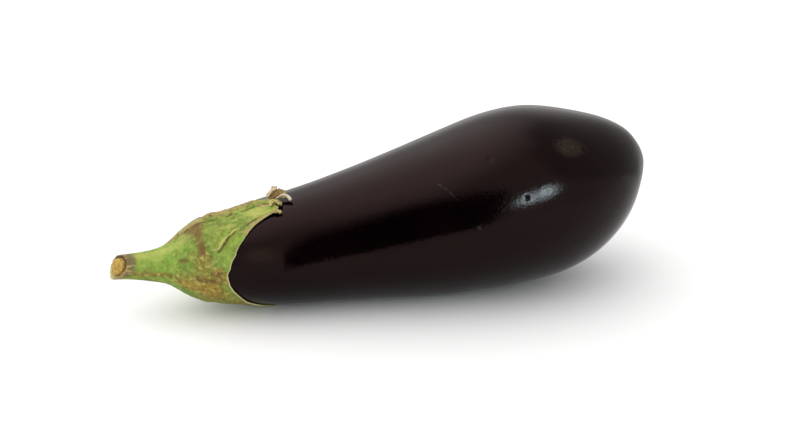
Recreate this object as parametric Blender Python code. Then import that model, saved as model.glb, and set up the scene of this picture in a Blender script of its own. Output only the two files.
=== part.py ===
"""An eggplant lying on its belly: fruit, calyx and stem, in metres, +Z up.

The stem points to -X and the blossom end to +X. The origin is under the middle of the whole, on the
surface it rests on. Every piece is lofted from rings that stand across X: a ring has a place along X,
a radius, and a centre at some Y and height. A cubic B-spline runs smoothly along rows of these four.
"""
import math

import bmesh
import bpy
import numpy as np

MM = 0.001
GAP = 0.3 * MM  # clearance between neighbouring pieces

# Fruit: rows of (place along X, radius, Y of the centre, height of the centre) in mm, from the shoulder to
# the blossom end, which bends up and towards +Y. The belly dips a little below zero and is cut flat there.
FRUIT_ROWS = [
    (-82.5, 0.0, 0.0, 23.6),
    (-82.0, 17.0, 0.0, 23.6),
    (-72.5, 19.1, 0.0, 23.7),
    (-52.5, 24.3, 0.0, 24.8),
    (-28.5, 26.8, 0.0, 27.5),
    (-4.5, 31.0, 0.0, 30.9),
    (19.5, 35.4, 0.0, 34.5),
    (43.5, 39.4, 0.0, 39.1),
    (65.5, 40.7, 0.5, 42.0),
    (85.5, 37.0, 2.0, 41.4),
    (102.5, 30.4, 4.0, 43.1),
    (114.5, 21.1, 6.0, 45.8),
    (119.0, 13.9, 7.0, 48.4),
    (126.5, 0.0, 7.5, 50.4),
]
FRUIT_STEPS = 4  # rings for each row of the fruit
FRUIT_SIDES = 40

# Calyx: a funnel that widens from the stem, as rows like the fruit's, and then a cup round the shoulder.
FUNNEL_ROWS = [
    (-95.5, 10.2, 0.0, 23.3),
    (-91.5, 13.4, 0.0, 23.6),
    (-87.5, 16.0, 0.0, 23.7),
    (-83.5, 18.2, 0.0, 23.7),
    (-79.5, 19.5, 0.0, 23.7),
    (-75.0, 20.2, 0.0, 23.8),
    (-70.5, 21.3, 0.0, 24.0),
]
CUP_BLEND = (-82.0 * MM, -73.0 * MM)  # the funnel's outside turns into the cup's between these places
CALYX_WALL = 1.3 * MM  # wall of the cup where it leaves the funnel
RIM_WALL = 0.7 * MM  # wall at the rim
THINNING = (0.4, 1.0)  # the wall thins between these shares of the way from the stem to the rim
CALYX_SIDES = 75
FUNNEL_STEPS = 4  # rings for each row of the funnel
CALYX_STEPS = 16  # rings outside, from the stem to the rim
CUP_STEPS = 9  # rings inside, from the shoulder to the rim
SHOULDER_END = 6  # the inside of the cup starts this many fruit rings from the shoulder's pole

# Lobes: each is (angle of the tip, reach of the tip along X in mm), and each notch between a tip and the
# next is (angle, depth along X in mm). Angles run from the top, 0, over the -Y side, 90, to the belly, 180.
LOBE_TIPS = [(5, -43.0), (168, -47.0), (222, -50.0), (268, -47.0), (314, -46.0)]
NOTCHES = [(90, -73.5), (196, -66.0), (245, -69.0), (291, -68.0), (338, -66.0)]
LOBE_POWER = 1.6  # above 1 gives a rounded notch and a pointed tip

# Stem: rows from the funnel to beyond the cut, and the cut's plane.
STEM_ROWS = [
    (-95.5, 10.2, 0.0, 23.3),
    (-99.0, 8.1, 0.0, 23.1),
    (-103.5, 7.0, 0.0, 23.1),
    (-109.0, 6.1, 0.0, 23.4),
    (-115.0, 5.5, 0.0, 23.8),
    (-121.0, 5.1, 0.0, 24.1),
    (-127.0, 4.8, 0.0, 24.2),
]
STEM_STEPS = 3
STEM_SIDES = 28
STEM_CUT_X = -119.0 * MM  # where the cut crosses the stem's middle
STEM_CUT_YAW = math.radians(22)  # the cut faces this far towards -Y
STEM_CUT_LIFT = math.radians(8)  # and this far up


def clear_scene():
    for scene_object in list(bpy.data.objects):
        bpy.data.objects.remove(scene_object, do_unlink=True)


def b_spline(rows, steps, closed_start=False, closed_end=False):
    """Rings in metres from rows in mm. A closed end mirrors the next row, so that it comes round and smooth;
    an open end runs on straight."""
    rows = np.array(rows, dtype=float) * MM
    mirror = np.array([1.0, -1.0, 1.0, 1.0])
    first = rows[1] * mirror if closed_start else 2 * rows[0] - rows[1]
    last = rows[-2] * mirror if closed_end else 2 * rows[-1] - rows[-2]
    cage = np.vstack([first, rows, last])
    rings = []
    for start in range(len(cage) - 3):
        for step in range(steps):
            t = step / steps
            weights = (
                (1 - t) ** 3 / 6,
                (3 * t**3 - 6 * t**2 + 4) / 6,
                (-3 * t**3 + 3 * t**2 + 3 * t + 1) / 6,
                t**3 / 6,
            )
            rings.append(sum(w * cage[start + k] for k, w in enumerate(weights)))
    rings.append((cage[-3] + 4 * cage[-2] + cage[-1]) / 6)
    return np.array(rings)


def fruit_rings(offset=0.0):
    """The fruit's rings, pushed out by offset along the outline's own normal."""
    rings = b_spline(FRUIT_ROWS, FRUIT_STEPS, closed_start=True, closed_end=True)
    if offset:
        along = np.gradient(rings[:, 0])
        across = np.gradient(rings[:, 1])
        across[0], along[0] = 1.0, 0.0
        length = np.hypot(along, across)
        rings[:, 0] -= offset * across / length
        rings[:, 1] += offset * along / length
    return rings


def ring_point(ring, angle):
    """A point on a ring: angle 0 is on top and a quarter turn is on the -Y side."""
    place, radius, side, height = ring
    return (place, side - radius * math.sin(angle), height + radius * math.cos(angle))


def ring_at(rings, place):
    """The ring at a place along X, between the given ones."""
    return (place, *(float(np.interp(place, rings[:, 0], rings[:, column])) for column in (1, 2, 3)))


def lobe_edge(angle):
    """How far along X the calyx reaches at an angle in radians."""
    turn = math.degrees(angle) % 360
    for index, (notch, depth) in enumerate(NOTCHES):
        for tip, reach in (LOBE_TIPS[index], LOBE_TIPS[(index + 1) % len(LOBE_TIPS)]):
            half = (tip - notch + 180) % 360 - 180
            away = (turn - notch + 180) % 360 - 180
            if away * half >= 0 and abs(away) <= abs(half):
                return MM * (depth + (reach - depth) * abs(away / half) ** LOBE_POWER)
    raise ValueError("the lobes don't cover this angle")


def skin_between(bm, lower, upper):
    sides = len(lower)
    for side in range(sides):
        after = (side + 1) % sides
        bm.faces.new((lower[side], lower[after], upper[after], upper[side]))


def close_with_fan(bm, loop, point):
    pole = bm.verts.new(point)
    for side, vertex in enumerate(loop):
        bm.faces.new((pole, loop[(side + 1) % len(loop)], vertex))


def loft(loops, start_pole=None, end_pole=None):
    """A mesh over loops of points, closed by fans at the poles or by flat faces."""
    bm = bmesh.new()
    made = [[bm.verts.new(point) for point in loop] for loop in loops]
    for lower, upper in zip(made, made[1:]):
        skin_between(bm, lower, upper)
    if start_pole is None:
        bm.faces.new(made[0])
    else:
        close_with_fan(bm, made[0], start_pole)
    if end_pole is None:
        bm.faces.new(made[-1][::-1])
    else:
        close_with_fan(bm, made[-1][::-1], end_pole)
    bmesh.ops.recalc_face_normals(bm, faces=bm.faces)
    return bm


def cut_flat(bm, point, normal):
    """Removes what lies beyond a plane and closes the hole with one flat face."""
    geometry = bm.verts[:] + bm.edges[:] + bm.faces[:]
    bmesh.ops.bisect_plane(bm, geom=geometry, dist=1e-7, plane_co=point, plane_no=normal, clear_outer=True)
    rim = [edge for edge in bm.edges if edge.is_boundary]
    bmesh.ops.holes_fill(bm, edges=rim, sides=0)
    bmesh.ops.recalc_face_normals(bm, faces=bm.faces)


def circle_angles(sides):
    return [2 * math.pi * side / sides for side in range(sides)]


def material(name, colour, roughness):
    made = bpy.data.materials.new(name)
    made.use_nodes = True
    shader = made.node_tree.nodes["Principled BSDF"]
    shader.inputs["Base Color"].default_value = (*colour, 1.0)
    shader.inputs["Roughness"].default_value = roughness
    shader.inputs["Metallic"].default_value = 0.0
    return made


def finish(name, bm, finish_material, sharp_degrees):
    mesh = bpy.data.meshes.new(name)
    bmesh.ops.triangulate(bm, faces=[face for face in bm.faces if len(face.verts) > 4])
    bm.to_mesh(mesh)
    bm.free()
    mesh.shade_smooth()
    mesh.set_sharp_from_angle(angle=math.radians(sharp_degrees))
    mesh.materials.append(finish_material)
    made = bpy.data.objects.new(name, mesh)
    bpy.context.scene.collection.objects.link(made)
    return made


def make_fruit():
    rings = fruit_rings()
    angles = circle_angles(FRUIT_SIDES)
    loops = [[ring_point(ring, angle) for angle in angles] for ring in rings[1:-1]]
    bm = loft(loops, ring_point(rings[0], 0.0), ring_point(rings[-1], 0.0))
    cut_flat(bm, (0, 0, 0), (0, 0, -1))
    return finish("fruit", bm, material("skin", (0.012, 0.006, 0.010), 0.18), 40)


def smooth_step(value, low, high):
    share = min(max((value - low) / (high - low), 0.0), 1.0)
    return share * share * (3 - 2 * share)


def calyx_outside(funnel, cup, root, share, angle):
    """A point outside the calyx, share of the way from the stem to the rim, where its wall thins."""
    place = root + (lobe_edge(angle) - root) * share
    on_cup = np.array(ring_at(cup, place))
    on_cup[1] -= smooth_step(share, *THINNING) * (CALYX_WALL - RIM_WALL)
    blend = smooth_step(place, *CUP_BLEND)
    ring = (1 - blend) * np.array(ring_at(funnel, place)) + blend * on_cup
    return ring_point(ring, angle)


def make_calyx():
    inside = fruit_rings(GAP)
    cup = fruit_rings(GAP + CALYX_WALL)
    funnel = b_spline(FUNNEL_ROWS, FUNNEL_STEPS)
    angles = circle_angles(CALYX_SIDES)
    root = funnel[0][0] + GAP / 2
    loops = []
    for step in range(CALYX_STEPS + 1):
        share = step / CALYX_STEPS
        loops.append([calyx_outside(funnel, cup, root, share, angle) for angle in angles])
    cup_start = inside[SHOULDER_END][0]
    for step in range(CUP_STEPS, -1, -1):
        share = step / CUP_STEPS
        places = [cup_start + (lobe_edge(angle) - cup_start) * share for angle in angles]
        loops.append([ring_point(ring_at(inside, place), angle) for place, angle in zip(places, angles)])
    for ring in inside[SHOULDER_END - 1 : 0 : -1]:
        loops.append([ring_point(ring, angle) for angle in angles])
    bm = loft(loops, None, ring_point(inside[0], 0.0))
    return finish("calyx", bm, material("calyx_green", (0.30, 0.42, 0.12), 0.55), 35)


def make_stem():
    rings = b_spline(STEM_ROWS, STEM_STEPS)
    rings[0][0] -= GAP / 2
    angles = circle_angles(STEM_SIDES)
    bm = loft([[ring_point(ring, angle) for angle in angles] for ring in rings])
    facing = (
        -math.cos(STEM_CUT_YAW) * math.cos(STEM_CUT_LIFT),
        -math.sin(STEM_CUT_YAW) * math.cos(STEM_CUT_LIFT),
        math.sin(STEM_CUT_LIFT),
    )
    place, _, side, height = ring_at(rings[::-1], STEM_CUT_X)
    cut_flat(bm, (place, side, height), facing)
    return finish("stem", bm, material("stem_green", (0.34, 0.38, 0.13), 0.6), 35)


def centre_on_origin(pieces):
    """Moves the pieces together so that the origin is under the middle of their common box."""
    points = np.array([vertex.co for piece in pieces for vertex in piece.data.vertices])
    low, high = points.min(axis=0), points.max(axis=0)
    middle = (low + high) / 2
    for piece in pieces:
        for vertex in piece.data.vertices:
            vertex.co.x -= middle[0]
            vertex.co.y -= middle[1]
            vertex.co.z -= low[2]


def main():
    clear_scene()
    centre_on_origin([make_fruit(), make_calyx(), make_stem()])


main()
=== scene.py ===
import math

import bpy
import numpy as np
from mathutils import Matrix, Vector, noise


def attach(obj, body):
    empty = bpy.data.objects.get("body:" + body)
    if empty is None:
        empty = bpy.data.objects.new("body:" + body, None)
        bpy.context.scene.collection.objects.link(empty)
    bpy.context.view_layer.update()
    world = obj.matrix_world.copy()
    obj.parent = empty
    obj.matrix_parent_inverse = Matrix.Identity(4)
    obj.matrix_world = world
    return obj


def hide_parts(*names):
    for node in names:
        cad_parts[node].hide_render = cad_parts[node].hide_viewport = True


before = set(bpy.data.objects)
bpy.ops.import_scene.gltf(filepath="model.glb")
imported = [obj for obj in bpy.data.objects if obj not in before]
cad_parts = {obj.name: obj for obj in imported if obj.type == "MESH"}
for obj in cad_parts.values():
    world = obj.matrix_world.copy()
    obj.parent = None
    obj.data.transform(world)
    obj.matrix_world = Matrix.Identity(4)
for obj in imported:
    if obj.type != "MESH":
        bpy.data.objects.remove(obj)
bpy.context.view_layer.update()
mm = 0.001
root = "root"  # the one body

# An eggplant on its side, in three pieces: the fruit's skin, the calyx with its dried tips, and the stem.
# Lengths are in metres unless a note says mm. Degrees round a piece start at the top and grow towards -Y.


class Wire:
    # an output socket; sums and products of wires add Math nodes
    def __init__(self, sheet, socket):
        self.sheet, self.socket = sheet, socket

    def __add__(self, other):
        return self.sheet.maths("ADD", self, other)

    def __sub__(self, other):
        return self.sheet.maths("SUBTRACT", self, other)

    def __rsub__(self, other):
        return self.sheet.maths("SUBTRACT", other, self)

    def __mul__(self, other):
        return self.sheet.maths("MULTIPLY", self, other)

    def __truediv__(self, other):
        return self.sheet.maths("DIVIDE", self, other)

    def __pow__(self, other):
        return self.sheet.maths("POWER", self, other)

    __radd__, __rmul__ = __add__, __mul__

    def step(self, low, high):  # 0 below low, 1 above high, smooth between; low may be the larger
        limits = {"From Min": min(low, high), "From Max": max(low, high)}
        ends = {"To Min": 0.0, "To Max": 1.0} if high > low else {"To Min": 1.0, "To Max": 0.0}
        return self.sheet.node("ShaderNodeMapRange", {"interpolation_type": "SMOOTHSTEP"},
                               {"Value": self, **limits, **ends})


class Sheet:
    # one node tree, drawn from empty
    def __init__(self, tree):
        self.tree = tree
        tree.nodes.clear()

    def node(self, kind, settings=None, sockets=None, output=0):
        made = self.tree.nodes.new(kind)
        for name, value in (settings or {}).items():
            setattr(made, name, value)
        for name, value in (sockets or {}).items():
            if isinstance(value, Wire):
                self.tree.links.new(value.socket, made.inputs[name])
            else:
                made.inputs[name].default_value = value
        return Wire(self, made.outputs[output]) if len(made.outputs) else made

    def maths(self, operation, *values):
        return self.node("ShaderNodeMath", {"operation": operation}, dict(enumerate(values)))

    def mix(self, share, first, second):  # colours: share 0 gives the first, 1 the second
        first, second = (c if isinstance(c, Wire) else (*c, 1.0) for c in (first, second))
        return self.node("ShaderNodeMix", {"data_type": "RGBA"}, {0: share, 6: first, 7: second}, 2)

    def stretched(self, vector, scale):
        return self.node("ShaderNodeVectorMath", {"operation": "MULTIPLY"}, {0: vector, 1: scale})

    def noise(self, vector, scale, detail=4.0, rough=0.55):
        sockets = {"Vector": vector, "Scale": scale, "Detail": detail, "Roughness": rough}
        return self.node("ShaderNodeTexNoise", {}, sockets)

    def dot(self, vector, direction):
        return self.node("ShaderNodeVectorMath", {"operation": "DOT_PRODUCT"}, {0: vector, 1: direction}, 1)

    def offset(self, vector, origin):
        return self.node("ShaderNodeVectorMath", {"operation": "SUBTRACT"}, {0: vector, 1: origin})

    def distance(self, vector, point):
        return self.node("ShaderNodeVectorMath", {"operation": "DISTANCE"}, {0: vector, 1: point}, 1)

    def line(self, vector, start, end):  # distance from a straight line between two points
        along = end - start
        offset = self.offset(vector, start)
        share = self.node("ShaderNodeClamp", {}, {0: self.dot(offset, along / along.length_squared)})
        foot = self.node("ShaderNodeVectorMath", {"operation": "SCALE"}, {0: along, "Scale": share})
        return self.distance(offset, foot)

    def mask(self, name):  # a number painted on the mesh's points
        return self.node("ShaderNodeAttribute", {"attribute_name": name}, {}, 2)


def newMaterial(name):
    material = bpy.data.materials.new(name)
    material.use_nodes = True
    sheet = Sheet(material.node_tree)
    place = sheet.node("ShaderNodeTexCoord", {}, {}, 3)  # metres, in the object's own frame
    return material, sheet, place


def finishMaterial(sheet, sockets, height=None, strength=1.0, depth=0.001):
    if height is not None:
        bump = {"Height": height, "Strength": strength, "Distance": depth}
        sockets = {**sockets, "Normal": sheet.node("ShaderNodeBump", {}, bump)}
    shader = sheet.node("ShaderNodeBsdfPrincipled", {}, sockets)
    sheet.node("ShaderNodeOutputMaterial", {}, {"Surface": shader})


def bSpline(rows, steps, startsRound=False, endsRound=False):
    # a cubic B-spline through rows of (place along X, radius, Y of the centre, height of the centre);
    # a round end mirrors the row beside it, so the skin closes smoothly at its pole
    rows = np.array(rows, dtype=float)
    mirror = np.array([1.0, -1.0, 1.0, 1.0])
    first = rows[1] * mirror if startsRound else 2 * rows[0] - rows[1]
    last = rows[-2] * mirror if endsRound else 2 * rows[-1] - rows[-2]
    cage = np.vstack([first, rows, last])
    t = np.linspace(0, 1, steps, endpoint=False)[None, :, None]
    weights = ((1 - t) ** 3, 3 * t**3 - 6 * t**2 + 4, -3 * t**3 + 3 * t**2 + 3 * t + 1, t**3)
    count = len(cage) - 3
    rings = sum(w / 6 * cage[k : k + count, None, :] for k, w in enumerate(weights)).reshape(-1, 4)
    return np.vstack([rings, (cage[-3] + 4 * cage[-2] + cage[-1]) / 6])


def evenRings(rings, count):
    # the same skin with count rings at even steps along its outline
    travel = np.concatenate([[0], np.cumsum(np.hypot(*np.diff(rings[:, :2], axis=0).T))])
    wanted = np.linspace(0, travel[-1], count)
    return np.stack([np.interp(wanted, travel, rings[:, k]) for k in range(4)], axis=1)


def ringsOfNode(name, leastPoints=40):
    # reads the rings that a lofted CAD node is made of, from one pole to the other
    points = np.array([vertex.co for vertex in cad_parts[name].data.vertices])
    places = np.round(points[:, 0], 5)
    rings = []
    for place in np.unique(places):
        ring = points[places == place]
        if len(ring) >= leastPoints:
            low, high = ring[:, 1].min(), ring[:, 1].max()
            radius = (high - low) / 2
            rings.append((place, radius, (high + low) / 2, ring[:, 2].max() - radius))
    return rings


def ringAt(rings, places):
    return [np.interp(places, rings[:, 0], rings[:, k]) for k in (1, 2, 3)]


def smooth(values, low, high):
    share = np.clip((np.asarray(values, dtype=float) - low) / (high - low), 0.0, 1.0)
    return share * share * (3 - 2 * share)


def fractal(points, size, seed=0.0, octaves=3):
    # smooth noise about -1 to 1, with features of about the given size
    shift = Vector((seed, seed * 1.7, seed * 2.3))
    scaled = np.asarray(points) / size
    return np.array([noise.fractal(Vector(p) + shift, 1.0, 2.0, octaves) for p in scaled])


def gridFaces(rows, columns):
    # quads over a grid of points that closes on itself across its columns
    row, column = np.meshgrid(np.arange(rows - 1), np.arange(columns), indexing="ij")
    here, beside = row * columns + column, row * columns + (column + 1) % columns
    return np.stack([here, beside, beside + columns, here + columns], axis=-1).reshape(-1, 4).tolist()


def closedShell(loops, startPole, endPole, masks=None):
    # loops of equal length, skinned and closed at both ends by a fan
    rows, columns = len(loops), len(loops[0])
    points = np.vstack([np.concatenate(loops), [startPole], [endPole]])
    faces = gridFaces(rows, columns)
    start, end, last = rows * columns, rows * columns + 1, (rows - 1) * columns
    for side in range(columns):
        after = (side + 1) % columns
        faces.append([start, after, side])
        faces.append([end, last + side, last + after])
    return points, faces, masks or {}


def makeObject(name, shells, material):
    # one mesh from shells of (points, faces, {mask: a number or one per point})
    mesh = bpy.data.meshes.new(name)
    allPoints, allFaces, painted = [], [], {}
    for points, faces, masks in shells:
        first = len(allPoints)
        allPoints += [tuple(p) for p in points]
        allFaces += [[corner + first for corner in face] for face in faces]
        for maskName, values in masks.items():
            painted.setdefault(maskName, []).append((first, np.zeros(len(points)) + values))
    mesh.from_pydata(allPoints, [], allFaces)
    for maskName, parts in painted.items():
        values = np.zeros(len(allPoints), "f")
        for first, part in parts:
            values[first : first + len(part)] = part
        mesh.attributes.new(maskName, "FLOAT", "POINT").data.foreach_set("value", values)
    mesh.shade_smooth()
    mesh.materials.append(material)
    made = bpy.data.objects.new(name, mesh)
    bpy.context.scene.collection.objects.link(made)
    return made


def makePiece(name, node, shells, material):
    made = makeObject(name, shells, material)
    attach(made, root)
    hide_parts(node)
    print(name, len(made.data.polygons), "faces")


fruit = {
    "rings": 330,
    "sides": 288,
    "swell": 0.22 * mm,  # how far the skin rises and falls by itself
    "swellSize": 34 * mm,
    "evenPast": (-50 * mm, -15 * mm),  # no swell under the calyx
    "pits": [  # (along X, degrees from the top towards -Y, radius, depth)
        (54.3 * mm, 67.5, 1.2 * mm, 0.35 * mm),
        (82.0 * mm, 38.0, 0.9 * mm, 0.25 * mm),
        (68.0 * mm, 36.0, 0.8 * mm, 0.2 * mm),
        (41.0 * mm, 37.0, 1.5 * mm, 0.2 * mm),
    ],
    "scratches": [  # from and to (mm along X, degrees), then half width
        ((18.0, 43), (21.5, 50), 0.45 * mm),
        ((21.5, 50), (25.0, 58), 0.30 * mm),
        ((32.3, 79), (33.6, 81), 0.70 * mm),
    ],
    "blossomScar": {"radius": 3.2 * mm, "lip": 0.25 * mm, "dip": 0.5 * mm},
}

angles = np.linspace(0, 2 * math.pi, fruit["sides"], endpoint=False)
fruitRings = bSpline(ringsOfNode("fruit"), 12, True, True)


def onRing(place, radius, side, height, angle):
    return np.stack([place + 0 * angle, side - radius * np.sin(angle), height + radius * np.cos(angle)], -1)


def skinPoint(rings, place, degrees):
    radius, side, height = ringAt(rings, place)
    return Vector(onRing(place, radius, side, height, np.array(math.radians(degrees))))


def makeFruit(material):
    rings = evenRings(fruitRings, fruit["rings"])
    place, radius, side, height = (rings[1:-1, k][:, None] for k in range(4))
    points = onRing(place, radius, side, height, angles[None, :] + 0 * place).reshape(-1, 3)
    centres = np.repeat(np.stack([place, side, height], -1).reshape(-1, 3), len(angles), axis=0)
    outward = points - centres
    outward /= np.linalg.norm(outward, axis=1, keepdims=True)
    lift = fruit["swell"] * fractal(points, fruit["swellSize"], 3.0, 2) * smooth(points[:, 0], *fruit["evenPast"])
    for x, degrees, size, depth in fruit["pits"]:
        away = np.linalg.norm(points - np.array(skinPoint(fruitRings, x, degrees)), axis=1)
        lift -= depth * np.exp(-((away / size) ** 2) * 1.6)
    points = points + outward * lift[:, None]
    scar = fruit["blossomScar"]
    pole = fruitRings[-1][[0, 2, 3]]
    away = np.linalg.norm(points - pole, axis=1) / scar["radius"]
    points[:, 0] += scar["lip"] * np.exp(-((away - 1) * 2.2) ** 2) - scar["dip"] * np.exp(-((away * 1.5) ** 2))
    points[:, 2] = np.maximum(points[:, 2], 0.02 * mm)
    start, end = fruitRings[0][[0, 2, 3]], pole - np.array([scar["dip"], 0, 0])
    shell = closedShell(points.reshape(-1, len(angles), 3), start, end)
    makePiece("fruitSkin", "fruit", [shell], material)


skinLook = {
    "deep": (0.0009, 0.0003, 0.0004),
    "warm": (0.0022, 0.0006, 0.0009),
    # this tone colours real scuffs and also the painted reflection beside the calyx
    "scuffAndReflection": (0.026, 0.021, 0.013),
    "scratch": (0.030, 0.026, 0.024),
    "cork": (0.15, 0.10, 0.05),
    "pit": (0.0004, 0.0003, 0.0003),
    "hole": (0.95 * mm, 0.55 * mm),  # the deepest pit's dark middle, outer and inner radius
    "tint": (1.0, 0.64, 0.62),  # of the gloss seen square on
    "roughness": 0.135,
    "mottle": 0.26,  # how much the gloss varies
    "ior": 1.235,
    "waves": (0.10, 0.0006),  # strength and depth of the bump
    "patch": (77.6 * mm, 38.0, 9.5 * mm, 3.5 * mm),  # a scuffed patch: along X, degrees, outer and inner radius
    "patchRings": ((84.3 * mm, 40.0, 1.35 * mm), (71.8 * mm, 34.0, 0.85 * mm)),  # at its two ends
    "paintedReflectionStreak": (-61 * mm, 68.0, 5.5 * mm, 1.0 * mm),  # a lighter streak beside the calyx: painted reflection, in the skin's colour
}


def skinMaterial():
    look = skinLook
    material, sheet, place = newMaterial("aubergineSkin")
    streaks = sheet.noise(sheet.stretched(place, (9.0, 60.0, 60.0)), 1.0, 5.0, 0.6)
    clouds = sheet.noise(place, 28.0, 3.0)
    colour = sheet.mix((streaks * 0.6 + clouds * 0.6).step(0.42, 0.78), look["deep"], look["warm"])
    dust = sheet.noise(place, 420.0, 3.0, 0.7)
    scar = fruit["blossomScar"]["radius"]
    pole = Vector(fruitRings[-1][[0, 2, 3]])
    ragged = sheet.distance(place, pole) + sheet.noise(place, 900.0) * 0.002
    cork = ragged.step(scar * 1.55, scar * 1.15)
    colour = sheet.mix(cork, colour, look["cork"])

    def oval(spot, squash, ragged):  # 1 in the middle of an oval spot, 0 outside it
        x, degrees, outer, inner = spot
        away = sheet.distance(sheet.stretched(place, squash), skinPoint(fruitRings, x, degrees) * squash)
        return (away + (dust - 0.5) * ragged).step(outer, inner)

    patch = oval(look["patch"], Vector((1.0, 1.5, 1.5)), 0.010)
    for x, degrees, size in look["patchRings"]:
        loop = sheet.distance(place, skinPoint(fruitRings, x, degrees)) / size + (dust - 0.5) * 1.6
        patch = patch + loop.step(0.8, 1.3) * loop.step(2.1, 1.4) * 0.22 - loop.step(1.3, 0.5) * 0.4
    # painted reflection: a lighter streak beside the calyx, mixed into the skin's colour
    paintedReflectionStreak = oval(look["paintedReflectionStreak"], Vector((0.45, 1.0, 1.0)), 0.004)
    colour = sheet.mix(paintedReflectionStreak * streaks.step(0.35, 0.6) * 0.22, colour, look["scuffAndReflection"])
    specks = sheet.noise(place, 1500.0, 1.0).step(0.76, 0.82)
    colour = sheet.mix(patch * (dust.step(0.3, 0.7) * 0.6 + 0.2) + specks * 0.10, colour, look["scuffAndReflection"])
    scratched = 0
    for first, last, width in fruit["scratches"]:
        ends = [skinPoint(fruitRings, x * mm, degrees) for x, degrees in (first, last)]
        scratched = sheet.line(place, *ends).step(width * 1.4, 0.0) * dust.step(0.35, 0.65) * 0.8 + scratched
    colour = sheet.mix(scratched, colour, look["scratch"])
    mottle = sheet.noise(place, 700.0, 2.0, 0.6)
    rough = look["roughness"] + (mottle - 0.5) * look["mottle"] + patch * 0.15 + cork * 0.5
    deepest = fruit["pits"][0]
    hole = sheet.distance(place, skinPoint(fruitRings, deepest[0], deepest[1])).step(*look["hole"])
    colour = sheet.mix(hole, colour, look["pit"])
    rough = rough + hole * 0.8
    waves = sheet.noise(place, 130.0, 2.0) * 0.6 + mottle
    finishMaterial(sheet, {
        "Base Color": colour,
        "Roughness": rough,
        "IOR": look["ior"],
        "Specular Tint": (*look["tint"], 1.0),
    }, waves, *look["waves"])
    return material


cap = {
    # rows from the stem's cut to the shoulder: place along X, radius, Y and height of the centre, in mm
    "outline": [
        (-128.5, 4.8, 0.0, 24.2),
        (-122.5, 5.1, 0.0, 24.1),
        (-116.5, 5.5, 0.0, 23.8),
        (-110.5, 6.1, 0.0, 23.4),
        (-105.0, 7.0, 0.0, 23.1),
        (-100.5, 8.1, 0.0, 23.1),
        (-97.0, 10.2, 0.0, 23.3),
        (-93.0, 13.4, 0.0, 23.6),
        (-89.0, 16.0, 0.0, 23.7),
        (-85.0, 18.2, 0.0, 23.7),
        (-81.0, 19.5, 0.0, 23.7),
        (-76.5, 20.2, 0.0, 23.8),
        (-72.0, 21.3, 0.0, 24.0),
    ],
    "blend": (-83.5 * mm, -74.5 * mm),  # where the funnel turns into the cup round the shoulder
    "gap": 0.25 * mm,
    "wall": 1.35 * mm,
    "rimWall": 0.55 * mm,
    "seam": -97.5 * mm,  # where the stem ends and the calyx begins
}

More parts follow.
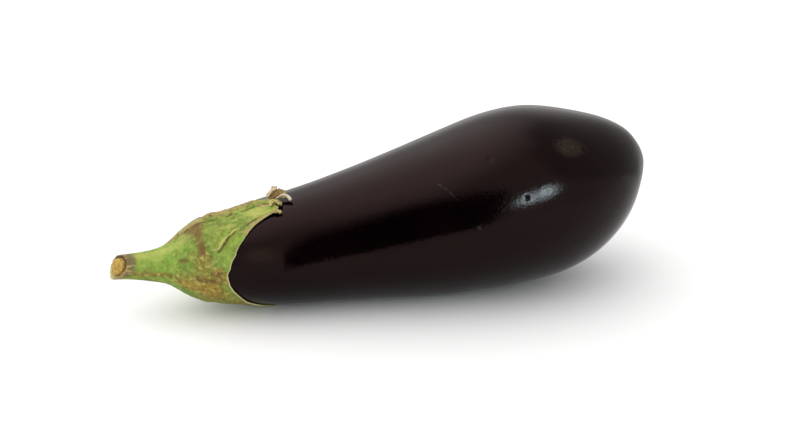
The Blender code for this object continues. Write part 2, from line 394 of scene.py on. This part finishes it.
calyx = {
    "sides": 420,
    "rows": 180,
    "insideRows": 14,
    "rimLift": 0.25 * mm,
    "tipLift": 0.7 * mm,
    "tips": [(6, -49.0), (168, -52.0), (222, -54.0), (268, -50.0), (314, -47.5)],  # (degrees, reach in mm)
    "notches": [(90, -75.0), (196, -67.5), (245, -70.5), (291, -69.5), (338, -67.5)],
    "power": 1.85,
    "ragged": 0.6 * mm,
    "bulges": [(21, 6.0 * mm, 7), (352, 2.0 * mm, 6)],  # (degrees, how far the rim bulges, half width in degrees)
    "rib": 0.3 * mm,
    "wobble": 0.55 * mm,  # how far the strokes wander
    "broken": 0.6,  # how much a stroke fades in places
    "stainFall": 0.7,
    "deepest": -0.5 * mm,
    "wrinkles": [  # size, seed, octaves, height
        (3.2 * mm, 11.0, 4, 0.20 * mm),
        (9.0 * mm, 17.0, 2, 0.25 * mm),
    ],
    "ribHalfWidth": 1.7 * mm,
    "paleRim": {"width": 0.38 * mm, "turn": 105, "fade": (62, 35)},
    "curlEdge": 9,  # how much a curl's edges turn up
    "curlRough": 0.30 * mm,
    # drawn on the surface through (mm along X, degrees), then half width and height in mm
    "strokes": {
        "crest": [
            ([(-98, -6), (-90, -4), (-84, -3), (-78, -2)], 2.2, 0.7),
            ([(-80, -3), (-74, -3), (-66, -3), (-58, -3), (-52, 0)], 2.6, 1.9),
        ],
        "line": [
            ([(-91, 5), (-82, 6.5), (-74, 8), (-66, 7), (-60, 6), (-56, 6), (-52.5, 9), (-50.5, 12)], 0.5, -0.35),
            ([(-57, 24), (-60.5, 25.5), (-63.8, 28.5), (-67.5, 32), (-70.8, 36), (-73.5, 41), (-75.4, 47), (-78, 57)],
             0.45, -0.3),
            ([(-72.5, 39), (-74.5, 44), (-78, 57)], 0.6, -0.2),
            ([(-88, 170), (-72, 169), (-60, 168)], 0.35, -0.1),
            ([(-90, 223), (-74, 221), (-63, 222)], 0.40, -0.1),
            ([(-84, 316), (-70, 313), (-57, 314)], 0.35, -0.1),
        ],
        "fold": [
            ([(-51.5, 21), (-57, 21), (-62, 25), (-67, 30), (-71, 34.5), (-75, 42), (-78, 52)], 0.75, 0.85),
        ],
        "margin": [
            ([(-51.5, 23), (-55, 25.5), (-59, 28.5), (-62.5, 33), (-65.5, 38)], 1.6, 0.35),
            ([(-58, 6), (-53, 11), (-50, 16), (-51, 22)], 1.2, 0.2),
        ],
    },
    # stains, and on the lower side (about 85 to 140 degrees) olive and brown patches that are partly painted shade:
    # (mm along X, degrees, half length and half width in mm)
    "stainsAndShade": {
        "brown": [(-87.5, 9, 4.5, 3.8), (-86, 27, 2.2, 5.4), (-85, 46, 1.9, 5.0), (-93, 63, 2.0, 1.3),
                  (-70.5, 6, 0.9, 0.6), (-79, 86, 2.6, 1.6), (-84, 96, 5.0, 1.0), (-84.5, 15, 1.8, 2.4),
                  (-79, 205, 3.0, 2.2),
                  (-88, 262, 3.6, 2.0), (-73, 300, 2.4, 1.6), (-82, 338, 2.0, 3.2)],
        "olive": [(-85, 68, 4.2, 6.0), (-86, 97, 8.0, 4.2), (-77, 94, 3.6, 4.0), (-107, 100, 14.0, 1.3),
                  (-68, 140, 9, 7), (-80, 128, 7, 6), (-118, 20, 4, 5), (-66, 222, 7, 3.5),
                  (-62, 268, 8, 3.5), (-60, 314, 8, 3.5), (-86, 240, 5, 6), (-92, 300, 5, 5)],
        "orange": [(-83, 112, 5.0, 4.6), (-91, 112, 5.0, 3.0), (-79, 84, 2.2, 2.6)],
        "bright": [(-97, 40, 4.0, 9.0), (-108, 50, 9.0, 6.0), (-68, 48, 5.0, 2.0)],
        "pale": [(-93, 22, 4.0, 2.6), (-105, 20, 9.0, 2.0), (-60, 14, 5.0, 2.0)],
    },
    # dried ends: (mm along X, degrees, mm above the skin, half width in mm) along each strip,
    # then its half thickness in mm, roll in degrees, and colour from pale 0 to brown 1
    "curls": [
        ([(-53.2, -3, 1.6, 2.0), (-51.2, -3, 2.8, 2.6), (-50.0, -3, 4.0, 2.5), (-49.6, -4, 5.2, 1.7)], 0.6, 25, 0.3),
        ([(-52.5, 3, 1.6, 1.9), (-50.0, 3, 3.0, 2.2), (-48.2, 4, 3.5, 2.0), (-46.8, 7, 2.8, 1.5),
          (-46.2, 10, 1.8, 0.9)], 0.7, -40, 0.75),
        ([(-50.5, 5, 1.8, 1.1), (-48.2, 6, 2.6, 1.4), (-46.4, 8.0, 2.8, 1.2), (-45.2, 11, 2.3, 1.0),
          (-44.4, 14.5, 1.4, 0.7)], 0.6, 45, 0.08),
        ([(-54, 22, 0.8, 1.1), (-51.8, 23, 1.3, 1.3), (-50.4, 25, 1.3, 1.0), (-49.6, 27, 0.8, 0.6)],
         0.5, 25, 0.55),
        ([(-53.5, 12, 1.5, 1.8), (-51.4, 11, 2.3, 1.7), (-50.0, 13, 2.2, 1.5), (-49.2, 17, 1.2, 1.0)],
         0.7, 50, 0.5),
    ],
}

capRings = bSpline(np.array(cap["outline"]) * mm, 12)


def apart(first, second):
    # degrees between two angles, signed
    return (first - second + 180) % 360 - 180


def rimReach(degrees):
    # how far along X the calyx reaches at an angle
    turn = np.asarray(degrees, dtype=float) % 360
    reach = np.zeros_like(turn)
    for index, (notch, depth) in enumerate(calyx["notches"]):
        for tip, length in (calyx["tips"][index], calyx["tips"][(index + 1) % 5]):
            half, away = apart(tip, notch), apart(turn, notch)
            inside = (away * half >= 0) & (np.abs(away) <= abs(half))
            rise = np.abs(np.where(inside, away, 0) / half) ** calyx["power"]
            reach = np.where(inside, depth + (length - depth) * rise, reach)
    reach *= mm
    for middle, bulge, width in calyx["bulges"]:
        reach += bulge * np.exp(-((apart(turn, middle) / width) ** 2))
    return reach


def capSurface(place, share):
    # ring of the cap's outside at places along X; share runs to 1 at the rim
    radius, side, height = ringAt(capRings, place)
    skin, skinSide, skinHeight = ringAt(fruitRings, place)
    wall = cap["wall"] + (cap["rimWall"] - cap["wall"]) * smooth(share, 0.35, 1.0)
    blend = smooth(place, *cap["blend"])
    radius = radius + (skin + cap["gap"] + wall - radius) * blend
    return radius, side + (skinSide - side) * blend, height + (skinHeight - height) * blend


def onCap(rows, samples=14):
    # points on the cap's outside along a path of (mm along X, degrees)
    path = np.array(rows, dtype=float)
    steps = np.linspace(0, len(path) - 1, samples * (len(path) - 1) + 1)
    place, degrees = (np.interp(steps, np.arange(len(path)), path[:, k]) for k in (0, 1))
    radius, side, height = capSurface(place * mm, 0.7)
    return onRing(place * mm, radius, side, height, np.radians(degrees))


def strokeNearness(points, rows, halfWidth):
    line = onCap(rows)
    nearest = np.full(len(points), 1.0)
    for spot in line:
        nearest = np.minimum(nearest, np.linalg.norm(points - spot, axis=1))
    return np.exp(-((nearest / (halfWidth * mm)) ** 2))


def paintCap(points, degrees, radius):
    # lift in metres, and the painted masks, at points on the cap's outside
    lift = np.zeros(len(points))
    crumple = fractal(points, 1.5 * mm, 47.0, 3)
    wobble = np.stack([fractal(points, 2.6 * mm, seed, 3) for seed in (71.0, 73.0, 79.0)], -1)
    bent = points + wobble * calyx["wobble"]
    masks = {}
    for name, strokes in calyx["strokes"].items():
        masks[name] = np.zeros(len(points))
        for rows, halfWidth, rise in strokes:
            near = strokeNearness(bent, rows, halfWidth)
            lift += near * rise * mm
            masks[name] = np.maximum(masks[name], np.clip(near * (1 + calyx["broken"] * crumple), 0, 1))
    for name, spots in calyx["stainsAndShade"].items():
        masks[name] = np.zeros(len(points))
        for x, angle, halfLength, halfWidth in spots:
            along = (points[:, 0] - x * mm) / (halfLength * mm)
            across = np.radians(apart(degrees, angle)) * radius / (halfWidth * mm)
            masks[name] = np.maximum(masks[name], np.exp(-(along**2 + across**2) * calyx["stainFall"]))
    for tip, _ in calyx["tips"][1:]:
        across = np.radians(apart(degrees, tip)) * radius / calyx["ribHalfWidth"]
        lift += calyx["rib"] * np.exp(-(across**2))
    return lift, masks


def wrinkles(points):
    drawnOut = points * np.array([0.35, 1.0, 1.0])
    return sum(fractal(drawnOut, size, seed, octaves) * high for size, seed, octaves, high in calyx["wrinkles"])


def makeCurl(rows, halfThick, roll, dryness):
    # a dried strip that lifts off the skin, round in section and narrow at its end
    spots = []
    for x, angle, over, halfWidth in rows:
        radius, side, height = ringAt(fruitRings, x * mm)
        spots.append([*onRing(x * mm, radius + over * mm, side, height, np.radians(angle)), halfWidth * mm])
    track = bSpline(spots, 8)
    heading = np.gradient(track[:, :3], axis=0)
    heading /= np.linalg.norm(heading, axis=1, keepdims=True)
    turn = np.linspace(0, 2 * math.pi, 20, endpoint=False)
    loops = []
    for step, (spot, ahead) in enumerate(zip(track, heading)):
        angle = math.radians(rows[0][1])
        out = np.array([0, -math.sin(angle), math.cos(angle)])
        across = np.cross(ahead, out)
        across /= np.linalg.norm(across)
        out = np.cross(across, ahead)
        rolled = math.radians(roll) * step / len(track)
        across, out = (across * math.cos(rolled) + out * math.sin(rolled),
                       out * math.cos(rolled) - across * math.sin(rolled))
        wide = spot[3] * np.cos(turn)[:, None]
        thick = halfThick * mm * np.sin(turn)[:, None] + np.abs(wide) ** 1.5 * calyx["curlEdge"]
        loops.append(spot[:3] + across * wide + out * thick)
    loops = np.array(loops)
    rough = fractal(loops.reshape(-1, 3), 1.3 * mm, 41.0, 3) * calyx["curlRough"]
    loops += rough.reshape(loops.shape[:2])[..., None]
    return closedShell(loops, loops[0].mean(0), loops[-1].mean(0), {"dry": 1.0, "dryness": dryness})


def makeCalyx(material):
    columns, rows = calyx["sides"], calyx["rows"]
    degrees = np.linspace(0, 360, columns, endpoint=False)
    turn = np.radians(degrees)
    wander = np.stack([np.cos(turn), np.sin(turn), 0 * turn], -1) * 20 * mm
    rim = rimReach(degrees) + calyx["ragged"] * fractal(wander, 5 * mm, 5.0, 4)
    share = np.linspace(0, 1, rows)[:, None] + np.zeros((1, columns))
    place = cap["seam"] + (rim - cap["seam"]) * share
    turns, allDegrees = turn + 0 * place, degrees + 0 * place
    radius, side, height = capSurface(place, share)
    flat = onRing(place, radius, side, height, turns).reshape(-1, 3)
    drawn, masks = paintCap(flat, allDegrees.ravel(), radius.ravel())
    fade = smooth(place, cap["seam"] - 2 * mm, cap["seam"] + 8 * mm)
    lift = wrinkles(flat).reshape(place.shape) * (0.4 + 0.6 * fade) + drawn.reshape(place.shape)
    lift *= 0.35 + 0.65 * smooth(share, 1.0, 0.93)
    lift += smooth(share, 0.86, 1.0) * (calyx["rimLift"] + smooth(place, -58 * mm, -48 * mm) * calyx["tipLift"])
    lift = np.maximum(lift, calyx["deepest"])
    loops = list(onRing(place, radius + lift, side, height, turns))
    # round lip, then the inside down to the shoulder
    lip = cap["rimWall"] + 0.1 * mm
    rimRadius = (radius + lift)[-1]
    for bend in (0.35, 0.8, 1.0):
        out, drop = math.sin(bend * math.pi) * lip * 0.5, (1 - math.cos(bend * math.pi)) / 2 * lip
        loops.append(onRing(rim + out, rimRadius - drop, side[-1], height[-1], turn))
    innerEnd = fruitRings[0][0] + 2.5 * mm
    for step in np.linspace(1, 0, calyx["insideRows"])[1:]:
        inner = innerEnd + (rim - innerEnd) * step
        skin, skinSide, skinHeight = ringAt(fruitRings, inner)
        overSkin = (rimRadius - lip - ringAt(fruitRings, rim)[0]) * smooth(step, 0.8, 1.0)
        loops.append(onRing(inner, skin + cap["gap"] * 0.5 + overSkin, skinSide, skinHeight, turn))
    count = len(loops) * columns + 2
    painted = {}
    for name, values in masks.items():
        painted[name] = np.zeros(count)
        painted[name][: len(values)] = values
    paleRim = calyx["paleRim"]
    lowSide = smooth(np.abs(apart(degrees, paleRim["turn"])), *paleRim["fade"])
    rimMask = smooth(rim - place, paleRim["width"], 0.0) * (0.2 + 0.65 * lowSide)
    painted["rim"] = np.zeros(count)
    painted["rim"][: rimMask.size + 3 * columns] = np.vstack([rimMask, np.repeat(rimMask[-1:], 3, axis=0)]).ravel()
    startPole = np.array([cap["seam"] + 1 * mm, 0.0, height[0].mean()])
    endPole = fruitRings[0][[0, 2, 3]] - np.array([0.6 * mm, 0, 0])
    shells = [closedShell(loops, startPole, endPole, painted)] + [makeCurl(*curl) for curl in calyx["curls"]]
    makePiece("calyxCup", "calyx", shells, material)


stem = {
    "sides": 220,
    "rows": 100,
    "cutAt": -120.2 * mm,
    "cutYaw": 27,  # degrees that the cut faces towards -Y
    "cutLift": 20,
    "tuck": 2.5 * mm,  # how far it runs on inside the calyx
    "bark": (6.5 * mm, 1.0 * mm),  # from the cut, where the bark begins and where it is full
    "furrow": 0.28 * mm,
    "lip": {"height": 2.4 * mm, "turn": 150, "halfWidth": 55},  # where the cut runs on past its plane
    "ragged": 0.35 * mm,
    "shadowRingFade": {"turn": 35, "fade": (110, 50)},  # the dark ring, painted shadow, shows most on this side
    "paleEdge": {"turn": 225, "fade": (105, 50), "width": (2.2 * mm, 0.3 * mm)},
}


def makeStem(material):
    columns, rows = stem["sides"], stem["rows"]
    degrees = np.linspace(0, 360, columns, endpoint=False)
    turn = np.radians(degrees)
    yaw, lean = math.radians(stem["cutYaw"]), math.radians(stem["cutLift"])
    facing = np.array([-math.cos(yaw) * math.cos(lean), -math.sin(yaw) * math.cos(lean), math.sin(lean)])
    endRadius, endSide, endHeight = ringAt(capRings, stem["cutAt"])
    middle = np.array([stem["cutAt"], float(endSide), float(endHeight)])
    across = onRing(0.0, endRadius, endSide, endHeight, turn) - np.array([0, middle[1], middle[2]])
    cut = stem["cutAt"] - (across[:, 1] * facing[1] + across[:, 2] * facing[2]) / facing[0]
    ragged = stem["ragged"] * fractal(across, 1.6 * mm, 23.0, 3)
    lip = stem["lip"]
    cut = cut + ragged - lip["height"] * np.exp(-((apart(degrees, lip["turn"]) / lip["halfWidth"]) ** 2))
    start = cap["seam"] + stem["tuck"]
    share = np.linspace(0, 1, rows)[:, None] + np.zeros((1, columns))
    place = start + (cut - start) * share
    radius, side, height = ringAt(capRings, place)
    turns, allDegrees = turn + 0 * place, degrees + 0 * place
    inside = smooth(place, cap["seam"] + 0.1 * mm, start)
    flat = onRing(place, radius, side, height, turns).reshape(-1, 3)
    drawn, masks = paintCap(flat, allDegrees.ravel(), radius.ravel())
    lift = wrinkles(flat).reshape(place.shape) * 0.4 + drawn.reshape(place.shape) * 0.6
    bark = smooth(place - cut, *stem["bark"])
    drawnOut = np.stack([place * 0.15, radius * np.sin(turns), radius * np.cos(turns)], -1)
    furrows = fractal(drawnOut.reshape(-1, 3), 1.3 * mm, 61.0, 3).reshape(place.shape)
    lift += furrows * stem["furrow"] * bark
    points = onRing(place, radius + lift - inside * 0.9 * mm, side, height, turns)
    loops = list(points)
    # the bark's edge, a narrow groove, and the corky middle standing out of it:
    # share of the way in, mm out of the cut, how dark the ring of painted shadow in the groove is there
    edge = points[-1]
    plane = edge - ((edge - middle) @ facing)[:, None] * facing
    towardMiddle = middle - plane
    reach = np.linalg.norm(towardMiddle, axis=1, keepdims=True)
    inward = towardMiddle / reach
    steps = [(0.08, 0.1, 0.1), (0.13, -0.5, 0.6), (0.19, -0.8, 1.0), (0.23, -0.1, 0.9), (0.28, 0.8, 0.4),
             (0.38, 1.15, 0.1), (0.52, 1.35, 0), (0.68, 1.45, 0), (0.85, 1.5, 0)]
    ring, cork = [], []
    for inShare, out, dark in steps:
        level = edge if inShare < 0.15 else plane
        rough = 0.14 * fractal(plane + inShare, 1.2 * mm, 31.0, 3)[:, None]
        loops.append(level + inward * reach * inShare + facing * (out + rough) * mm)
        ring.append(dark)
        cork.append(float(inShare > 0.2))
    count = len(loops) * columns + 2
    painted = {"bark": np.ones(count), "ring": np.zeros(count), "cork": np.ones(count)}
    painted["bark"][: bark.size] = bark.ravel()
    painted["cork"][: bark.size] = 0.0
    # the ring is painted shadow in the groove, darkest on one side of the cut
    farSide = 0.25 + 0.75 * smooth(np.abs(apart(degrees, stem["shadowRingFade"]["turn"])), *stem["shadowRingFade"]["fade"])
    painted["ring"][bark.size : -2] = np.outer(ring, farSide).ravel()
    painted["cork"][bark.size : -2] = np.repeat(cork, columns)
    pale = stem["paleEdge"]
    lowLeft = smooth(np.abs(apart(degrees, pale["turn"])), *pale["fade"])
    painted["edge"] = np.zeros(count)
    painted["edge"][: bark.size] = (smooth(place - cut, *pale["width"]) * lowLeft).ravel()
    painted["edge"][bark.size : -2] = np.outer(np.linspace(1.1, 0, len(steps)), lowLeft).ravel()
    for name, values in masks.items():
        painted[name] = np.zeros(count)
        painted[name][: len(values)] = values
    startPole = np.array([start, 0.0, float(height[0].mean())])
    shell = closedShell(loops, startPole, middle + facing * 1.5 * mm, painted)
    makePiece("stemStalk", "stem", [shell], material)


greens = {
    "bright": (0.180, 0.300, 0.040),
    "leaf": (0.108, 0.186, 0.026),
    "yellow": (0.440, 0.410, 0.110),
    "olive": (0.190, 0.155, 0.030),
    "orange": (0.290, 0.180, 0.030),
    "brown": (0.128, 0.064, 0.017),
    "line": (0.080, 0.046, 0.016),
    "tan": (0.340, 0.250, 0.100),
    "cream": (0.560, 0.490, 0.260),
    "pink": (0.560, 0.470, 0.360),
    "straw": (0.420, 0.370, 0.140),
    "bark": (0.130, 0.102, 0.044),
    "cork": (0.310, 0.180, 0.030),
    "pith": (0.500, 0.360, 0.100),
    # ring: painted shadow in the groove round the stem's cut
    "ring": (0.095, 0.050, 0.016),
}
greenGloss = {"ior": 1.4, "level": 0.22, "bump": (0.7, 0.0008)}


def greenMaterial(name, isStem=False):
    material, sheet, place = newMaterial(name)
    fine = sheet.noise(sheet.stretched(place, (160.0, 480.0, 480.0)), 1.0, 5.0, 0.6)
    blotch = sheet.noise(place, 110.0, 4.0, 0.6)
    broad = sheet.noise(place, 45.0, 3.0)
    grain = sheet.noise(place, 900.0, 3.0, 0.65)
    patchy = (blotch - 0.5) * 2.6 + (grain - 0.5) * 1.6

    # mixes a tone in where a mask is painted: stains, and on the calyx's lower side also painted shade
    def paintStainAndShade(colour, mask, tone, share=0.85, ragged=0.45):
        edge = (sheet.mask(mask) + patchy * sheet.mask(mask) ** 0.35 * ragged).step(0.12, 0.95)
        return sheet.mix(edge * share, colour, greens[tone])

    colour = sheet.mix(blotch.step(0.36, 0.64), greens["leaf"], greens["bright"])
    colour = sheet.mix((broad * 0.8 + patchy * 0.10).step(0.34, 0.52) * 0.35, colour, greens["olive"])
    colour = paintStainAndShade(colour, "bright", "bright", 0.75)
    colour = sheet.mix(fine.step(0.50, 0.72) * 0.5, colour, greens["yellow"])
    # olive here and brown below: stains, and on the lower side partly painted shade
    colour = paintStainAndShade(colour, "olive", "olive", 0.95)
    colour = paintStainAndShade(colour, "orange", "orange", 0.9)
    colour = paintStainAndShade(colour, "brown", "brown", 0.9)
    mottle = sheet.noise(place, 520.0, 4.0, 0.7)
    # more brown mottle on olive and orange, so partly on painted shade too
    weatherAndShade = (sheet.mask("olive") + sheet.mask("orange")).step(0.1, 1.0)
    colour = sheet.mix(mottle.step(0.53, 0.63) * (weatherAndShade * 0.35 + 0.45), colour, greens["brown"])
    colour = sheet.mix(mottle.step(0.48, 0.36) * (weatherAndShade * 0.40 + 0.30), colour, greens["yellow"])
    colour = sheet.mix((grain + fine * 0.5).step(0.72, 0.52) * 0.38, colour, greens["leaf"])
    colour = paintStainAndShade(colour, "pale", "yellow", 0.45)
    colour = paintStainAndShade(colour, "margin", "tan", 0.95, 0.6)
    colour = paintStainAndShade(colour, "crest", "tan", 0.85, 0.5)
    colour = sheet.mix((grain - 0.5 + mottle).step(0.50, 0.64) * sheet.mask("crest").step(0.1, 0.6) * 0.7, colour,
                       greens["brown"])
    colour = paintStainAndShade(colour, "fold", "yellow", 0.6, 0.8)
    colour = paintStainAndShade(colour, "line", "line", 0.9, 0.35)
    colour = sheet.mix(sheet.mask("rim"), colour, greens["cream"])
    if isStem:
        edge = (sheet.mask("bark") + patchy * 0.3).step(0.25, 0.85)
        colour = sheet.mix(edge * 0.9, colour, sheet.mix(fine.step(0.45, 0.6), greens["bark"], greens["tan"]))
        face = sheet.mix(grain.step(0.42, 0.66), greens["cork"], greens["pith"])
        colour = sheet.mix(sheet.mask("cork").step(0.4, 0.6), colour, face)
        # painted shadow: the dark ring in the groove round the cut
        colour = sheet.mix(sheet.mask("ring") * 0.95, colour, greens["ring"])
        colour = sheet.mix((sheet.mask("edge") + patchy * 0.3).step(0.2, 0.9) * 0.75, colour, greens["cream"])
    else:
        dryness = sheet.mask("dryness") + patchy * 0.25
        straw = sheet.mix((grain - 0.5 + mottle).step(0.38, 0.62), greens["straw"], greens["olive"])
        driedTip = sheet.mix(dryness.step(0.1, 0.5), greens["pink"], straw)
        driedTip = sheet.mix(dryness.step(0.5, 0.85), driedTip, greens["brown"])
        colour = sheet.mix(sheet.mask("dry"), colour, driedTip)
    height = fine * 0.6 + grain * 0.35 + blotch * 0.3
    finishMaterial(sheet, {
        "Base Color": colour,
        "Roughness": 0.50 + fine * 0.2,
        "IOR": greenGloss["ior"],
        "Specular IOR Level": greenGloss["level"],
    }, height, *greenGloss["bump"])
    return material


makeFruit(skinMaterial())
makeCalyx(greenMaterial("calyxGreen"))
makeStem(greenMaterial("stemGreen", True))


floorLook = {"size": 14.0, "colour": (0.78, 0.78, 0.78), "height": -0.05 * mm}


def makeFloor():
    half = floorLook["size"] / 2
    corners = [(-half, -half, 0), (half, -half, 0), (half, half, 0), (-half, half, 0)]
    material, sheet, place = newMaterial("paleFloor")
    grain = sheet.noise(place, 300.0, 2.0)
    finishMaterial(sheet, {"Base Color": (*floorLook["colour"], 1.0), "Roughness": 0.9 + grain * 0.05})
    floor = makeObject("paleFloor", [(corners, [(0, 1, 2, 3)], {})], material)
    floor.location.z = floorLook["height"]


def around(distance, turn, rise):
    # a place round the object: turn 0 is towards -Y and grows towards +X, both in degrees
    turn, rise = math.radians(turn), math.radians(rise)
    level = math.cos(rise)
    return Vector((math.sin(turn) * level, -math.cos(turn) * level, math.sin(rise))) * distance


tent = {
    # light from everywhere, light added on the bright side, its turn and rise in degrees, and how it fades
    "lit": (1.20, 0.75, (-120, 45), (0.22, 0.95)),
    "mirrored": (1.10, 1.75, (-115, 50), (0.50, 0.97)),  # the same for what shows in gloss
    "dim": 0.34,  # how much darker a patch on the right is
    "dimTurn": (28, 50, 135, 160),
    "dimRise": (56, 68, 66, 80),  # the first two add a share of the turn
    "dimSlant": 0.7,
    "litTone": (1.0, 0.99, 0.985),
    "mirroredTone": (1.0, 0.975, 0.95),
    "behind": 1.1,  # what the eye sees past the floor
}


def makeWorld():
    world = bpy.data.worlds.new("studioTent")
    bpy.context.scene.world = world
    world.use_nodes = True
    sheet = Sheet(world.node_tree)
    towards = sheet.node("ShaderNodeTexCoord", {}, {}, 0)
    x, y, z = (sheet.node("ShaderNodeSeparateXYZ", {}, {0: towards}, k) for k in range(3))
    turn = sheet.maths("ARCTAN2", x, 0 - y)
    rise = sheet.maths("ARCSINE", z)
    left, leftFull, rightFull, right = (math.radians(v) for v in tent["dimTurn"])
    low, lowFull, highFull, high = (math.radians(v) for v in tent["dimRise"])
    slanted = rise + turn * tent["dimSlant"]
    dim = turn.step(left, leftFull) * turn.step(right, rightFull) * slanted.step(low, lowFull)
    dim = dim * rise.step(high, highFull)

    def dome(base, extra, at, span):
        return base + extra * sheet.dot(towards, around(1, *at)).step(*span)

    lit, mirrored = dome(*tent["lit"]), dome(*tent["mirrored"])
    seen, inGloss = (sheet.node("ShaderNodeLightPath", {}, {}, name) for name in ("Is Camera Ray", "Is Glossy Ray"))
    light = lit * (1 - inGloss) + mirrored * (1 - dim * tent["dim"]) * inGloss
    light = light * (1 - seen) + seen * tent["behind"]
    tone = sheet.mix(inGloss, tent["litTone"], tent["mirroredTone"])
    shade = sheet.node("ShaderNodeBackground", {}, {"Color": tone, "Strength": light})
    sheet.node("ShaderNodeOutputWorld", {}, {"Surface": shade})


def reflectedOnly(made):
    # part of the studio that shows in gloss, and neither casts a shadow nor lights anything else
    for ray in ("camera", "diffuse", "shadow", "transmission", "volume_scatter"):
        setattr(made, "visible_" + ray, False)


softbox = {
    "aim": (63 * mm, -36 * mm, 56 * mm),
    "distance": 1.2,
    "at": (22, 19.5),
    "half": (20.0, 9.5),  # half spans in degrees
    "tilt": 10,
    "strength": 37.0,
    "colour": (0.52, 0.98, 1.06),
    "hotSpots": ((0.22, 0.1), (-0.60, -0.15)),  # shares of the half spans
    "hotRadius": (0.20, 0.02),  # in metres
}


def makeSoftbox():
    aim = Vector(softbox["aim"])
    middle = aim + around(softbox["distance"], *softbox["at"])
    away = (middle - aim).normalized()
    right = Vector((0, 0, 1)).cross(away).normalized()
    up = away.cross(right)
    tilt = math.radians(softbox["tilt"])
    along = right * math.cos(tilt) + up * math.sin(tilt)
    over = up * math.cos(tilt) - right * math.sin(tilt)
    halfAlong, halfOver = (math.tan(math.radians(h)) * softbox["distance"] for h in softbox["half"])
    corners = [middle + along * a * halfAlong + over * b * halfOver for a, b in ((-1, -1), (1, -1), (1, 1), (-1, 1))]
    material, sheet, place = newMaterial("softboxGlow")
    offset = sheet.offset(place, middle)
    across, upward = sheet.dot(offset, along / halfAlong), sheet.dot(offset, over / halfOver)
    radial = (across * across + upward * upward) ** 0.5
    cloud = sheet.noise(place, 17.0, 5.0, 0.75)
    glow = (radial + (cloud - 0.5) * 1.4).step(1.05, 0.35)
    hot = 0
    for a, b in softbox["hotSpots"]:
        spot = middle + along * halfAlong * a + over * halfOver * b
        hot = sheet.distance(place, spot).step(*softbox["hotRadius"]) + hot
    light = glow * softbox["strength"] * (cloud.step(0.34, 0.66) + hot * 0.6 + 0.08)
    seeThrough = sheet.node("ShaderNodeBsdfTransparent")
    lit = sheet.node("ShaderNodeEmission", {}, {"Color": (*softbox["colour"], 1.0), "Strength": light})
    both = sheet.node("ShaderNodeAddShader", {}, {0: seeThrough, 1: lit})
    sheet.node("ShaderNodeOutputMaterial", {}, {"Surface": both})
    reflectedOnly(makeObject("softbox", [(corners, [(0, 1, 2, 3)], {})], material))


def gloomMaterial(name, share):
    # see-through where share gives 0, black where it gives 1
    material, sheet, place = newMaterial(name)
    black = sheet.node("ShaderNodeBsdfDiffuse", {}, {"Color": (0.002, 0.002, 0.002, 1.0)})
    seeThrough = sheet.node("ShaderNodeBsdfTransparent")
    body = sheet.node("ShaderNodeMixShader", {}, {0: share(sheet, place), 1: seeThrough, 2: black})
    sheet.node("ShaderNodeOutputMaterial", {}, {"Surface": body})
    return material


darkCard = {
    "foot": (-52 * mm, -45 * mm),
    "heading": 2.5,  # degrees from -Y towards +X
    "middle": (0.5, 0.12),  # of its face, in metres
    # (distance from the foot, height, softness) in mm
    "edge": [(-10, 27, 18), (-8, 35, 24), (14, 61, 34), (50, 105, 52), (88, 181, 70), (166, 225, 80), (300, 310, 100),
             (1300, 860, 200), (2300, 900, 200), (2200, 280, 60), (1100, 0, 30), (84, 0, 10)],
}


def makeDarkCard():
    heading = math.radians(darkCard["heading"])
    along = np.array([math.sin(heading), -math.cos(heading)])
    rows = np.array(darkCard["edge"]) * mm
    edge, soft = rows[:, :2], rows[:, 2:]
    course = np.roll(edge, -1, axis=0) - np.roll(edge, 1, axis=0)
    outward = np.column_stack([-course[:, 1], course[:, 0]]) / np.linalg.norm(course, axis=1, keepdims=True)
    grown = edge + outward * soft * 0.6
    edge = edge - outward * soft * 0.4
    grown[:, 1], edge[:, 1] = np.maximum(grown[:, 1], 0.0), np.maximum(edge[:, 1], 0.0)
    flat = np.vstack([edge, grown, [darkCard["middle"]]])
    points = np.column_stack([np.array(darkCard["foot"]) + flat[:, :1] * along, flat[:, 1]])
    count = len(edge)
    faces = []
    for k in range(count):
        after = (k + 1) % count
        faces += [(k, after, 2 * count), (k, count + k, count + after, after)]
    material = gloomMaterial("darkCard", lambda sheet, place: sheet.mask("body").step(0.0, 1.0))
    masks = {"body": np.array([1.0] * count + [0.0] * count + [1.0])}
    reflectedOnly(makeObject("darkCard", [(points, faces, masks)], material))


floorShade = {
    "height": 1.0 * mm,
    "size": 5.0,
    "share": 0.45,
    "fade": (0.02, 0.09),  # along Y
}


def makeFloorShade():
    # darkens the floor behind the fruit, in its gloss only
    half, height = floorShade["size"] / 2, floorShade["height"]
    corners = [(-half, 0.0, height), (half, 0.0, height), (half, half, height), (-half, half, height)]

    def share(sheet, place):
        return sheet.dot(place, (0, 1, 0)).step(*floorShade["fade"]) * floorShade["share"]

    material = gloomMaterial("floorShade", share)
    reflectedOnly(makeObject("floorShade", [(corners, [(0, 1, 2, 3)], {})], material))


camera = {"distance": 0.9, "turn": -13.0, "rise": 24.0, "lens": 91.36, "target": (4.1 * mm, 0.0, 37.3 * mm)}


def makeCamera():
    data = bpy.data.cameras.new("camera")
    data.lens, data.sensor_width, data.sensor_fit = camera["lens"], 36.0, "HORIZONTAL"
    made = bpy.data.objects.new("camera", data)
    target = Vector(camera["target"])
    made.location = target + around(camera["distance"], camera["turn"], camera["rise"])
    made.rotation_euler = (target - made.location).to_track_quat("-Z", "Y").to_euler()
    bpy.context.scene.collection.objects.link(made)
    bpy.context.scene.camera = made


makeFloor()
makeWorld()
makeSoftbox()
makeDarkCard()
makeFloorShade()
makeCamera()
bpy.context.scene.view_settings.view_transform = "Standard"
print("floor, light and camera")
